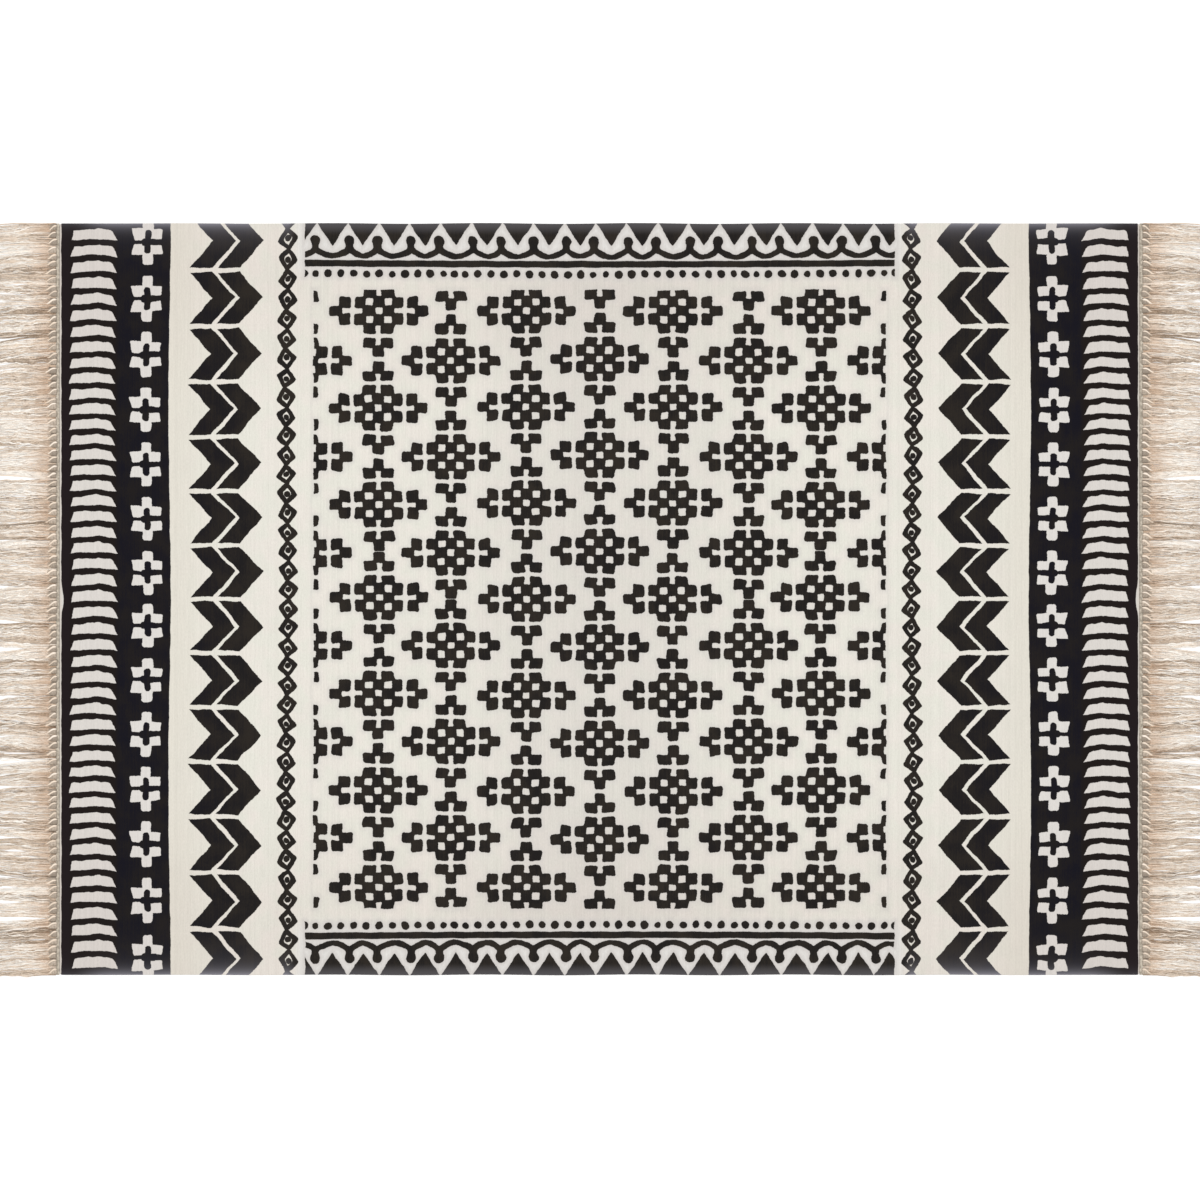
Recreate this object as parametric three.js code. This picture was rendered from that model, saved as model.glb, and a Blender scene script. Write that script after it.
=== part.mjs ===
// A flat-woven cotton rug lying open on the floor, with a corded fringe along each short end.
// Millimetres, +Z up, +X along the rug's length. The origin is the centre of the rug's underside.

import * as THREE from "three";

// Driving dimensions of the cloth
const RUG_LENGTH = 2000;
const RUG_WIDTH = 1392;
const CLOTH_THICKNESS = 3;
const CORNER_RADIUS = 5;
const CORNER_SEGMENTS = 4;

// The long sides of a woven rug are never quite straight: a shallow wave runs along them.
const SIDE_WAVE_HEIGHT = 0.8;
const SIDE_WAVES = 7;
const SIDE_STEPS = 56;

// Driving dimensions of the fringe
const SEAM_GAP = 0.3;
const TAPE_THICKNESS = 2.4;
const CORDS_PER_END = 100;
const SWAY = 4;
const SWAY_WAVES = 6;

// One cord of the fringe in sections, from the heading tape out to its loose end.
// out: distance from the tape's inner edge, width: share of the cord pitch, height: above the floor.
const CORD_SECTIONS = [
  { out: 7, width: 0.62, height: 3.6 },
  { out: 14, width: 0.7, height: 6 },
  { out: 25, width: 0.6, height: 5 },
  { out: 70, width: 0.86, height: 4 },
  { out: 125, width: 0.8, height: 2.6 },
];

// Sizes that follow from the driving dimensions
const HALF_LENGTH = RUG_LENGTH / 2;
const HALF_WIDTH = RUG_WIDTH / 2;
const CORD_PITCH = RUG_WIDTH / CORDS_PER_END;
const FRINGE_REACH = CORD_SECTIONS.at(-1).out;

const undyedCotton = { color: 0xe1ddd1, roughness: 0.92, metalness: 0 };
const fringeCotton = { color: 0xdacbbb, roughness: 0.7, metalness: 0 };

function sideOffset(x) {
  // The wave dies away at both ends, so that the corners stay square.
  const fade = Math.cos((Math.PI * x) / RUG_LENGTH);
  return SIDE_WAVE_HEIGHT * fade * Math.sin((2 * Math.PI * SIDE_WAVES * x) / RUG_LENGTH);
}

function longSide(shape, direction) {
  const reach = HALF_LENGTH - CORNER_RADIUS;
  for (let step = 0; step <= SIDE_STEPS; step += 1) {
    const x = direction * reach * ((2 * step) / SIDE_STEPS - 1);
    shape.lineTo(x, -direction * HALF_WIDTH + sideOffset(x));
  }
}

function rugOutline() {
  const alongX = HALF_LENGTH - CORNER_RADIUS;
  const alongY = HALF_WIDTH - CORNER_RADIUS;
  const quarter = Math.PI / 2;
  const shape = new THREE.Shape();
  shape.absarc(-alongX, -alongY, CORNER_RADIUS, 2 * quarter, 3 * quarter);
  longSide(shape, 1);
  shape.absarc(alongX, -alongY, CORNER_RADIUS, 3 * quarter, 4 * quarter);
  shape.absarc(alongX, alongY, CORNER_RADIUS, 0, quarter);
  longSide(shape, -1);
  shape.absarc(-alongX, alongY, CORNER_RADIUS, quarter, 2 * quarter);
  return shape;
}

function rugCloth() {
  const geometry = new THREE.ExtrudeGeometry(rugOutline(), {
    depth: CLOTH_THICKNESS,
    bevelEnabled: false,
    curveSegments: CORNER_SEGMENTS,
  });
  const mesh = new THREE.Mesh(geometry, new THREE.MeshStandardMaterial(undyedCotton));
  mesh.name = "rug_cloth";
  return mesh;
}

function cordCentre(index, out) {
  // Cords lean to one side and the other along the end, more so towards their loose ends.
  const rest = (index + 0.5) * CORD_PITCH - HALF_WIDTH;
  const lean = Math.sin((2 * Math.PI * SWAY_WAVES * rest) / RUG_WIDTH);
  return rest + SWAY * lean * (out / FRINGE_REACH) ** 2;
}

function combOutline() {
  // Drawn with the tape's inner edge on x = 0 and the cords towards +x.
  const shape = new THREE.Shape();
  shape.moveTo(0, -HALF_WIDTH);
  for (let index = 0; index < CORDS_PER_END; index += 1) {
    for (const { out, width } of CORD_SECTIONS) {
      shape.lineTo(out, cordCentre(index, out) - (width * CORD_PITCH) / 2);
    }
    for (const { out, width } of CORD_SECTIONS.toReversed()) {
      shape.lineTo(out, cordCentre(index, out) + (width * CORD_PITCH) / 2);
    }
  }
  shape.lineTo(0, HALF_WIDTH);
  return shape;
}

function heightAt(out) {
  const section = CORD_SECTIONS.find((row) => row.out === out);
  return section ? section.height : TAPE_THICKNESS;
}

function fringeComb() {
  // One unit high at first, then every upper corner is raised to the height of its own section.
  const geometry = new THREE.ExtrudeGeometry(combOutline(), { depth: 1, bevelEnabled: false });
  const position = geometry.attributes.position;
  for (let i = 0; i < position.count; i += 1) {
    position.setZ(i, position.getZ(i) * heightAt(position.getX(i)));
  }
  return geometry;
}

function fringe(name, turn) {
  const mesh = new THREE.Mesh(fringeComb(), new THREE.MeshStandardMaterial(fringeCotton));
  mesh.name = name;
  mesh.position.x = Math.cos(turn) * (HALF_LENGTH + SEAM_GAP);
  mesh.rotation.z = turn;
  return mesh;
}

const rug = new THREE.Group();
rug.add(rugCloth());
rug.add(fringe("fringe_right", 0));
rug.add(fringe("fringe_left", Math.PI));

export default rug;
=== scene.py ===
# %% [markdown]
# # A printed cotton rug with corded fringes
# The rug is a flat-woven ecru cotton sheet, printed in black on its upper face, with a fringe of beige
# cords sewn along each short end. It lies open on a pale floor and is seen from straight above.
# We start from the measured frame: the rug's length, width and thickness and the reach of its fringe are
# read from its boxes. Motifs and threads are then set in millimetres.

# %% Load the frame
import math

import bmesh
import bpy
import numpy as np
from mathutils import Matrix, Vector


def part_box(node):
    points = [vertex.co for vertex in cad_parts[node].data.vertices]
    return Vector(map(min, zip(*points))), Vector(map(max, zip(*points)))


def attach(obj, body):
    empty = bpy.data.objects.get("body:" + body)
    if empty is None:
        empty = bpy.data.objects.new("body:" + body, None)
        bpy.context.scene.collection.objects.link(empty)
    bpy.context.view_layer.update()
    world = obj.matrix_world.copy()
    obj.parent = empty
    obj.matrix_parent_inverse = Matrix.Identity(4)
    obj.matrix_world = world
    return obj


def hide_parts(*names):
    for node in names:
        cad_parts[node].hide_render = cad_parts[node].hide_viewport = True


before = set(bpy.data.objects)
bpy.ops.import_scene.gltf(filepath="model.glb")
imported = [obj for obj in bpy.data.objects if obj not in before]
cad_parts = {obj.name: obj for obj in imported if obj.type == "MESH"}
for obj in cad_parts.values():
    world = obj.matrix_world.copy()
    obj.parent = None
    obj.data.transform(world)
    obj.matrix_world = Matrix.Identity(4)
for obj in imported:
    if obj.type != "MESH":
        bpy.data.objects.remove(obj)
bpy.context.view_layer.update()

_, cloth_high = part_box("rug_cloth")
fringe_low, fringe_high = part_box("fringe_right")
HALF_LENGTH = cloth_high.x
HALF_WIDTH = (fringe_high.y - fringe_low.y) / 2
THICKNESS = cloth_high.z
FRINGE_REACH = fringe_high.x - HALF_LENGTH
MM = 0.001
print("cloth", 2 * HALF_LENGTH, "by", 2 * HALF_WIDTH, "m, fringe reaches", round(FRINGE_REACH, 4), "m")

# %% [markdown]
# ## Camera
# The photograph looks straight down, and both long sides are parallel in it, so the camera hangs high
# above the rug with a long lens. One photograph pixel covers 1.852 mm of cloth, and the rug's middle lies
# a little off the picture's middle. An orthographic camera would look the same from here, but the other
# views need a lens.

# %% Hang the camera
PICTURE_PIXELS = 1200
MM_PER_PIXEL = 1.8522
RUG_MIDDLE_PIXEL = (599.5, 599.15)
CAMERA_HEIGHT = 9.0
SENSOR_WIDTH = 36.0
pixel_size = MM_PER_PIXEL * MM
picture_width = PICTURE_PIXELS * pixel_size
lens = bpy.data.cameras.new("long_lens")
lens.sensor_width = SENSOR_WIDTH
lens.lens = SENSOR_WIDTH * CAMERA_HEIGHT / picture_width
camera = bpy.data.objects.new("camera", lens)
offset_right = (PICTURE_PIXELS / 2 - RUG_MIDDLE_PIXEL[0]) * pixel_size
offset_up = (RUG_MIDDLE_PIXEL[1] - PICTURE_PIXELS / 2) * pixel_size
camera.location = (offset_right, offset_up, THICKNESS + CAMERA_HEIGHT)
bpy.context.scene.collection.objects.link(camera)
bpy.context.scene.camera = camera
print("lens", round(lens.lens, 1), "mm, picture", round(picture_width, 3), "m wide")

# %% [markdown]
# ## Floor and light
# A catalogue picture of a rug is lit almost evenly: white surroundings fill every shadow, and one large
# soft lamp, hung almost straight above, gives the cords and the weave a soft bright side. The floor is a
# plain white sheet. The plain view transform keeps whites white, where a film-like one would turn them
# grey.

# %% Lay the floor
FLOOR_GAP = 0.3 * MM
FLOOR_SIZE = 40.0
FLOOR_WHITE = (0.94, 0.94, 0.94, 1.0)
FLOOR_FINISH = {"Roughness": 0.9, "Specular IOR Level": 0.1}


def new_material(name, finish):
    """A material with plain numbers on some of its shader's own sockets."""
    material = bpy.data.materials.new(name)
    material.use_nodes = True
    surface = material.node_tree.nodes["Principled BSDF"]
    for label, number in finish.items():
        surface.inputs[label].default_value = number
    return material, material.node_tree, surface


def mesh_of(shape, name):
    """The mesh of a finished bmesh."""
    mesh = bpy.data.meshes.new(name)
    shape.to_mesh(mesh)
    shape.free()
    return mesh


def add_object(name, mesh, material):
    """Puts a mesh into the scene with its material."""
    mesh.materials.append(material)
    thing = bpy.data.objects.new(name, mesh)
    bpy.context.scene.collection.objects.link(thing)
    return thing


def floor_sheet():
    paint, _, surface = new_material("white_floor", FLOOR_FINISH)
    surface.inputs["Base Color"].default_value = FLOOR_WHITE
    shape = bmesh.new()
    bmesh.ops.create_grid(shape, x_segments=1, y_segments=1, size=FLOOR_SIZE / 2)
    bmesh.ops.translate(shape, verts=shape.verts, vec=(0, 0, -FLOOR_GAP))
    return add_object("floor", mesh_of(shape, "floor"), paint)


floor_sheet()
print("floor", FLOOR_SIZE, "m across")

# %% Set the lamp and the white surroundings
SKY_WHITE = (1.0, 1.0, 1.0, 1.0)
SKY_STRENGTH = 0.750
LAMP_POWER = 572.0
LAMP_SIZE = 5.0
LAMP_PLACE = (-0.5, 0.9, 9.5)


def soft_lamp():
    light = bpy.data.lights.new("soft_lamp", "AREA")
    light.energy = LAMP_POWER
    light.size = LAMP_SIZE
    lamp = bpy.data.objects.new("soft_lamp", light)
    lamp.location = LAMP_PLACE
    toward_rug = -lamp.location
    lamp.rotation_euler = toward_rug.to_track_quat("-Z", "Y").to_euler()
    bpy.context.scene.collection.objects.link(lamp)


def white_surroundings():
    sky = bpy.data.worlds.new("white_surroundings")
    sky.use_nodes = True
    background = sky.node_tree.nodes["Background"]
    background.inputs["Color"].default_value = SKY_WHITE
    background.inputs["Strength"].default_value = SKY_STRENGTH
    bpy.context.scene.world = sky


soft_lamp()
white_surroundings()
bpy.context.scene.view_settings.view_transform = "Standard"
print("lamp", LAMP_POWER, "W, surroundings", SKY_STRENGTH)

# %% [markdown]
# ## A small language for printing
# The print could be a picture file, but then it would be as coarse as that picture. Instead each motif is
# worked out in the material as a distance: how many millimetres a point lies outside the motif's edge, with
# minus numbers inside it. Shapes then join with a minimum and cut each other with a maximum.
# Distances need many Math nodes, so a wire class lets us write them as ordinary sums.

# %% Wires: sums that build nodes
def feed(socket, value):
    """Links a wire to a socket, or sets a plain value on it."""
    if isinstance(value, Wire):
        value.tree.links.new(value.socket, socket)
    else:
        socket.default_value = value


class Wire:
    """A number or a vector on its way through a node tree. Arithmetic on wires adds the nodes for it."""

    def __init__(self, tree, socket):
        self.tree = tree
        self.socket = socket

    def through(self, kind, operation, *others):
        """Passes this wire and others into a new node, in order, and gives the node's result."""
        node = self.tree.nodes.new(kind)
        node.operation = operation
        for socket, value in zip(node.inputs, (self, *others)):
            feed(socket, value)
        live = [socket for socket in node.outputs if socket.enabled]
        return Wire(self.tree, live[0])

    def math(self, operation, *others):
        return self.through("ShaderNodeMath", operation, *others)

    def vector(self, operation, *others):
        return self.through("ShaderNodeVectorMath", operation, *others)

    def __add__(self, other):
        return self.math("ADD", other)

    def __sub__(self, other):
        return self.math("SUBTRACT", other)

    def __rsub__(self, other):
        return self.math("MULTIPLY_ADD", -1.0, other)

    def __mul__(self, other):
        return self.math("MULTIPLY", other)

    def __truediv__(self, other):
        return self.math("DIVIDE", other)

    def __neg__(self):
        return self.math("MULTIPLY", -1.0)

    def __abs__(self):
        return self.math("ABSOLUTE")

    __radd__ = __add__
    __rmul__ = __mul__


print("wires ready")

# %% Join, cut, fold and ease
def least(first, *rest):
    """Joins motifs: the nearest edge counts."""
    for other in rest:
        first = first.math("MINIMUM", other)
    return first


def most(first, *rest):
    """Cuts motifs: the furthest edge counts."""
    for other in rest:
        first = first.math("MAXIMUM", other)
    return first


def melt(fillet, first, *rest):
    """Joins motifs, with ink run into the corners where they meet."""
    for other in rest:
        first = first.math("SMOOTH_MIN", other, fillet)
    return first


def fold(value, half):
    """Runs from 0 to half and back again, so that one motif mirrors into the next."""
    return value.math("PINGPONG", half)


def repeat(value, pitch):
    """Starts again every pitch, from minus to plus half a pitch."""
    return value.math("WRAP", pitch / 2, -pitch / 2)


def waves(value, length, start=0.0):
    """A cosine wave of this length, with a crest at start."""
    return ((value - start) * (2 * math.pi / length)).math("COSINE")


def blunt(value, rounding):
    """Distance from zero, like abs, but rounded where it turns."""
    return (value * value + rounding ** 2).math("SQRT")


def smooth(value, low, high, at_low, at_high):
    """Eases from one number to another while value goes from low to high."""
    slope = value.tree.nodes.new("ShaderNodeMapRange")
    slope.interpolation_type = "SMOOTHSTEP"
    labels = ("Value", "From Min", "From Max", "To Min", "To Max")
    for label, number in zip(labels, (value, low, high, at_low, at_high)):
        feed(slope.inputs[label], number)
    return Wire(value.tree, slope.outputs["Result"])


print("sums for motifs ready")

# %% [markdown]
# ## Motif groups
# Each motif becomes a shader node group of its own, with named inputs and one output, its distance in
# millimetres. A group can be opened and tried by itself, and the print further on only has to place them.

# %% Helpers that make and place groups
def new_group(name, inputs, outputs):
    """An empty shader group. Both lists hold (label, kind). The wires of its inputs come back with it."""
    tree = bpy.data.node_groups.new(name, "ShaderNodeTree")
    for in_out, sockets in (("INPUT", inputs), ("OUTPUT", outputs)):
        for label, kind in sockets:
            tree.interface.new_socket(label, in_out=in_out, socket_type="NodeSocket" + kind)
    enter = tree.nodes.new("NodeGroupInput")
    leave = tree.nodes.new("NodeGroupOutput")
    return tree, [Wire(tree, enter.outputs[label]) for label, _ in inputs], leave


def motif_group(name, inputs, draw):
    """A group that holds one motif: draw takes its input wires and gives the distance."""
    tree, wires, leave = new_group(name, [(label, "Float") for label in inputs], [("Distance", "Float")])
    feed(leave.inputs["Distance"], draw(*wires))
    print("motif", name, "with", len(tree.nodes), "nodes")
    return tree


def place_group(tree, group, *values):
    """Puts a group into a tree, fed in order by wires or plain numbers. Gives a wire for each output."""
    node = tree.nodes.new("ShaderNodeGroup")
    node.node_tree = group
    for socket, value in zip(node.inputs, values):
        feed(socket, value)
    return [Wire(tree, socket) for socket in node.outputs]


def pair(across, up):
    """Two numbers side by side as a vector, for the vector nodes."""
    join = across.tree.nodes.new("ShaderNodeCombineXYZ")
    feed(join.inputs["X"], across)
    feed(join.inputs["Y"], up)
    return Wire(across.tree, join.outputs[0])


def split(place):
    """The parts of a vector."""
    parts = place.tree.nodes.new("ShaderNodeSeparateXYZ")
    feed(parts.inputs[0], place)
    return [Wire(place.tree, socket) for socket in parts.outputs]


print("groups ready")

# %% Blocks and spots
# The lean of a block with straight sides.
UPRIGHT = (0.0, 0.0)


def block(place, low, high, rounding, lean=UPRIGHT):
    """Distance from a block between two corners, its own corners rounded as a printing block leaves them.
    lean slants its sides: so far across for each step up, and so far up for each step across."""
    middle = [(a + b) / 2 for a, b in zip(low, high)]
    straight = [(b - a) / 2 - rounding for a, b in zip(low, high)]
    own = place.vector("SUBTRACT", (*middle, 0))
    if any(lean):
        across, up, _ = split(own)
        own = pair(across - up * lean[0], up - across * lean[1])
    beyond = own.vector("ABSOLUTE").vector("SUBTRACT", (*straight, 0))
    return beyond.vector("MAXIMUM", (0, 0, 0)).vector("LENGTH") - rounding


def spot(place, middle, radius):
    """Distance from a round spot."""
    return place.vector("SUBTRACT", (*middle, 0)).vector("LENGTH") - radius


print("blocks and spots ready")

# %% [markdown]
# ## The field of stepped medallions
# The middle of the rug is a half-drop repeat, an old weaver's layout: rows of medallions, with every second
# row set between the others. A medallion is a handful of square blocks, mirrored left to right and top to
# bottom, so a quarter of it is charted below and two folds make the rest. A slanted line between neighbours
# decides which medallion a point belongs to, so the chart is only read once. The blocks melt together at
# their corners, where the ink ran.

# %% Chart the medallion
MEDALLION_PITCH = (274.0, 178.0)
WAVE_LENGTH = HALF_WIDTH / MM
BLOCK_ROUNDING = 4.2
INK_RUN = 3.6
SHARING_LEAN = 1.2
# The printer set the columns by hand: how far in the full rows and how far out the half rows stand.
FULL_ROWS_IN = {"even": 1.5, "wave": 1.0}
HALF_ROWS_OUT = 1.7
# Outer medallions are squeezed towards the middle line, those of full rows less near the long sides.
OUTER_SQUEEZE = 3.2
SQUEEZE_FADE = (230.0, 560.0)
# One quarter of a medallion: each block's reach across and up from the middle, in millimetres.
MEDALLION_BLOCKS = [
    {"block": "inner", "across": (6.6, 29.0), "up": (-9.3, 9.3)},
    {"block": "side end", "across": (68.0, 91.0), "up": (-9.3, 9.3)},
    {"block": "middle", "across": (-10.2, 10.2), "up": (6.2, 27.2)},
    {"block": "shoulder", "across": (24.4, 44.7), "up": (4.7, 25.9)},
    {"block": "side pair", "across": (52.5, 73.0), "up": (5.0, 26.2), "lean": (0.0, 0.11)},
    {"block": "crown_highlight", "across": (5.0, 28.3), "up": (23.0, 41.6), "lean": (-0.15, 0.0)},
    {"block": "top pair", "across": (5.0, 28.2), "up": (49.2, 68.0), "lean": (0.13, 0.0)},
    {"block": "top end", "across": (-10.1, 10.1), "up": (63.6, 85.0)},
]


def draw_medallions(along, across):
    half_x, half_y = (pitch / 2 for pitch in MEDALLION_PITCH)
    to_side = half_x - fold(along, half_x)
    to_row = fold(across, half_y)
    border = (SHARING_LEAN * half_x + half_y) / 2
    next_one = (to_side * SHARING_LEAN + to_row).math("GREATER_THAN", border)
    outer = along.math("GREATER_THAN", (2.0 - next_one) * half_x)
    upper = across.math("GREATER_THAN", (1.0 - next_one) * half_y)
    full_in = waves(across, WAVE_LENGTH) * FULL_ROWS_IN["wave"] + FULL_ROWS_IN["even"]
    shift = (1.0 - next_one) * full_in - next_one * outer * HALF_ROWS_OUT
    hold = most(next_one, smooth(abs(across), *SQUEEZE_FADE, 1.0, 0.0))
    squeeze = outer * hold * (upper * 2.0 - 1.0) * OUTER_SQUEEZE
    own_side = half_x - fold(along + shift, half_x)
    own_row = fold(across + squeeze, half_y)
    place = pair(abs(next_one * half_x - own_side), abs(next_one * half_y - own_row))
    shapes = []
    for row in MEDALLION_BLOCKS:
        low, high = zip(row["across"], row["up"])
        shapes.append(block(place, low, high, BLOCK_ROUNDING, row.get("lean", UPRIGHT)))
    return melt(INK_RUN, *shapes)


medallions = motif_group("stepped_medallions", ("Along", "Across"), draw_medallions)

# %% [markdown]
# ## Chevrons, cross flowers and the diamond chain
# The end bands run across the rug, and their motifs share one spacing: a step of about 100 mm that grows
# slightly towards the long sides, because the cloth was stretched when it was printed. The chevrons are
# two slanted stripes folded at their tips. The cross flowers are left bare in the black band. In the chain
# every second diamond leans the other way, which a fold gives for nothing.

# %% Draw the chevrons
STEP = 100.0
CHEVRON_TIPS = (625.5, 676.5)
CHEVRON_WIDTH = 41.9
CHEVRON_FOOT = 45.8
CHEVRON_TOP = {"up": 46.4, "from_tip": 42.0, "slant": 0.065}
# Both edges slope a little more on the upper half: the even part, and the part that changes sign.
TIP_SLOPE = {"even": 0.935, "uneven": 0.045}
TIP_RISE = 1.8
BACK_SLOPE = {"even": 0.90, "uneven": 0.02}


def draw_chevrons(out, steps):
    up = repeat(steps - 0.5, 1.0) * STEP
    risen = up - TIP_RISE
    to_tip = abs(risen) * TIP_SLOPE["even"] + risen * TIP_SLOPE["uneven"]
    to_back = abs(up) * BACK_SLOPE["even"] + up * BACK_SLOPE["uneven"]
    squareness = 1 / math.hypot(1, TIP_SLOPE["even"])
    stripes = []
    for tip in CHEVRON_TIPS:
        from_tip = out - tip
        sides = most(to_tip - from_tip, from_tip - to_back - CHEVRON_WIDTH) * squareness
        over_top = up - CHEVRON_TOP["up"] + (from_tip - CHEVRON_TOP["from_tip"]) * CHEVRON_TOP["slant"]
        stripes.append(most(sides, over_top, -up - CHEVRON_FOOT))
    return least(*stripes)


chevrons = motif_group("chevrons", ("Out", "Steps"), draw_chevrons)

# %% Draw the cross flowers
FLOWER_PLACE = 840.4
FLOWER_STEP = 0.49
# One half of a flower, out from the split across its middle: reach along the rug and up from the split.
FLOWER_PETALS = [
    {"petal": "end", "along": (-11.9, 8.3), "up": (6.0, 40.9), "lean": UPRIGHT, "rounding": 5.5},
    {"petal": "outer", "along": (-2.0, 27.0), "up": (3.0, 24.2), "lean": (0.22, 0.0), "rounding": 2.6},
    {"petal": "inner", "along": (-28.8, -2.0), "up": (4.9, 22.4), "lean": (-0.12, 0.07), "rounding": 2.8},
]
FLOWER_SLOT = {"low": (-7.1, -20.5), "high": (3.9, 20.5), "rounding": 5.2}
FLOWER_EYE = {"middle": (4.4, 0.0), "radius": 6.6}


def draw_flowers(out, steps):
    place = pair(out - FLOWER_PLACE, abs(repeat(steps - FLOWER_STEP, 1.0)) * STEP)
    petals = []
    for row in FLOWER_PETALS:
        low, high = zip(row["along"], row["up"])
        petals.append(block(place, low, high, row["rounding"], row["lean"]))
    return most(least(*petals), -block(place, **FLOWER_SLOT), -spot(place, **FLOWER_EYE))


flowers = motif_group("cross_flowers", ("Out", "Steps"), draw_flowers)

# %% Draw the diamond chain
CHAIN_PLACE = 579.0
CHAIN_PAIR = STEP / math.sqrt(2)
LINK_HALF_WIDTH = 20.6
LINK_HALF_HEIGHTS = (22.6, 20.2)
LINK_SIDE_ROUNDING = 3.0
LINK_DROP = 0.9
LINK_LEAN = 0.19
LINK_TURN = 0.11
LINK_STROKE = 7.4
LINK_EYE = {"middle": (-0.4, 1.0), "radius": 5.1}


def draw_chain(out, steps):
    sideways = out - CHAIN_PLACE
    straight_up = fold(steps * STEP, CHAIN_PAIR / 2) - CHAIN_PAIR / 4
    leaning_up = straight_up + sideways * LINK_LEAN
    turned = sideways - straight_up * LINK_TURN
    up = leaning_up + LINK_DROP
    above, below = (1 / height for height in LINK_HALF_HEIGHTS)
    height = blunt(up, LINK_SIDE_ROUNDING) * ((above + below) / 2) + up * ((above - below) / 2)
    squareness = 1 / math.hypot(1 / LINK_HALF_WIDTH, (above + below) / 2)
    diamond = (abs(turned) / LINK_HALF_WIDTH + height - 1.0) * squareness
    outline = most(diamond, -diamond - LINK_STROKE)
    return least(outline, spot(pair(turned, leaning_up), **LINK_EYE))


chain = motif_group("diamond_chain", ("Out", "Steps"), draw_chain)

# %% [markdown]
# ## Ladder bars
# Next to the fringe a row of bare bars stands in the black band, like the rungs of a ladder. Each rises to
# a low peak, slants at its ends, and is a little rippled along its upper side. The bars don't mirror: they
# point the same way all along, and two slow waves sway their spacing, as hand-printed rows do.

# %% Draw the ladder bars
BAR_PITCH = 29.251
BAR_START = 2.05
BAR_SWAYS = [
    {"height": 2.77, "length": 620.0, "crest": 128.0},
    {"height": 2.24, "length": 1450.0, "crest": -8.9},
]
BAR_PEAK = 930.0
BAR_PEAK_ROUNDING = 5.0
# Height at the peak, and how fast it drops: the even part, and the part that changes sign.
BAR_TOP = {"peak": 12.0, "drop": 0.14, "uneven": -0.04}
BAR_FOOT = {"peak": -7.1, "drop": 0.099, "uneven": -0.027}
BAR_RIPPLE = {"height": 0.45, "length": 20.5}
BAR_OUTER_END = {"place": 978.2, "slant": 0.28}
BAR_INNER_END = {"place": 899.8, "slant": 0.5}
BAR_CORNER = 4.0
BARS_REACH = 688.0


def draw_bars(out, across):
    swayed = across - BAR_START
    for sway in BAR_SWAYS:
        swayed = swayed - waves(across, sway["length"], sway["crest"]) * sway["height"]
    up = repeat(swayed, BAR_PITCH)
    from_peak = out - BAR_PEAK
    away = blunt(from_peak, BAR_PEAK_ROUNDING) - BAR_PEAK_ROUNDING
    ripple = waves(out, BAR_RIPPLE["length"], BAR_PEAK) * BAR_RIPPLE["height"]
    top = BAR_TOP["peak"] - away * BAR_TOP["drop"] - from_peak * BAR_TOP["uneven"] + ripple
    foot = BAR_FOOT["peak"] - away * BAR_FOOT["drop"] - from_peak * BAR_FOOT["uneven"]
    past_outer = out - BAR_OUTER_END["place"] + up * BAR_OUTER_END["slant"]
    past_inner = BAR_INNER_END["place"] - out + up * BAR_INNER_END["slant"]
    round_corner = past_inner.math("SMOOTH_MAX", up - top, BAR_CORNER)
    return most(round_corner, foot - up, past_outer, abs(across) - BARS_REACH)


bars = motif_group("ladder_bars", ("Out", "Across"), draw_bars)

# %% [markdown]
# ## Border of the long sides
# Between the end bands each long side carries, from the edge inwards, hanging triangles, a garland with
# round knobs, a plain line and a row of dots. Garland and triangles mirror about one place near the
# middle, and the knobs stand closer and wider apart in turn, with one knob on the mirror. The dots repeat
# by the dozen. They differ in size, so a stepped ramp holds one radius for each dot of the dozen.

# %% Draw the triangles
GARLAND_MIRROR = -122.4
GARLAND_START = 86.3
GARLAND_PITCH = 57.3
TRIANGLE_HEIGHT = 42.0
TRIANGLE_SLOPE = 0.64
TRIANGLE_TIP_ROUNDING = 1.2


def draw_triangles(along, from_edge):
    sideways = fold(abs(along - GARLAND_MIRROR) - GARLAND_START, GARLAND_PITCH / 2)
    reach = (TRIANGLE_HEIGHT - from_edge) * TRIANGLE_SLOPE
    return (blunt(sideways, TRIANGLE_TIP_ROUNDING) - reach) / math.hypot(1, TRIANGLE_SLOPE)


triangles = motif_group("hanging_triangles", ("Along", "From Edge"), draw_triangles)

# %% Draw the garland
GARLAND_PINCH = {"shift": 2.55, "reach": 45.0}
KNOB_PLACE = (25.75, 665.6)
KNOB_RADIUS = 8.8
NECK_HALF_WIDTH = 6.3
NECK_FOOT = 645.0
NECK_ROUNDING = 2.0
# Both edges of the swag: height at its lowest place, rise to the knob, and the power of the curve.
SWAG_FOOT = {"low": 632.7, "rise": 10.6, "power": 2.0}
SWAG_TOP = {"low": 641.4, "rise": 13.0, "power": 1.35}
# These edges slope, so the distance to them is about this share of the way straight up.
SWAG_SQUARENESS = 0.86
GARLAND_INK_RUN = 6.0


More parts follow.
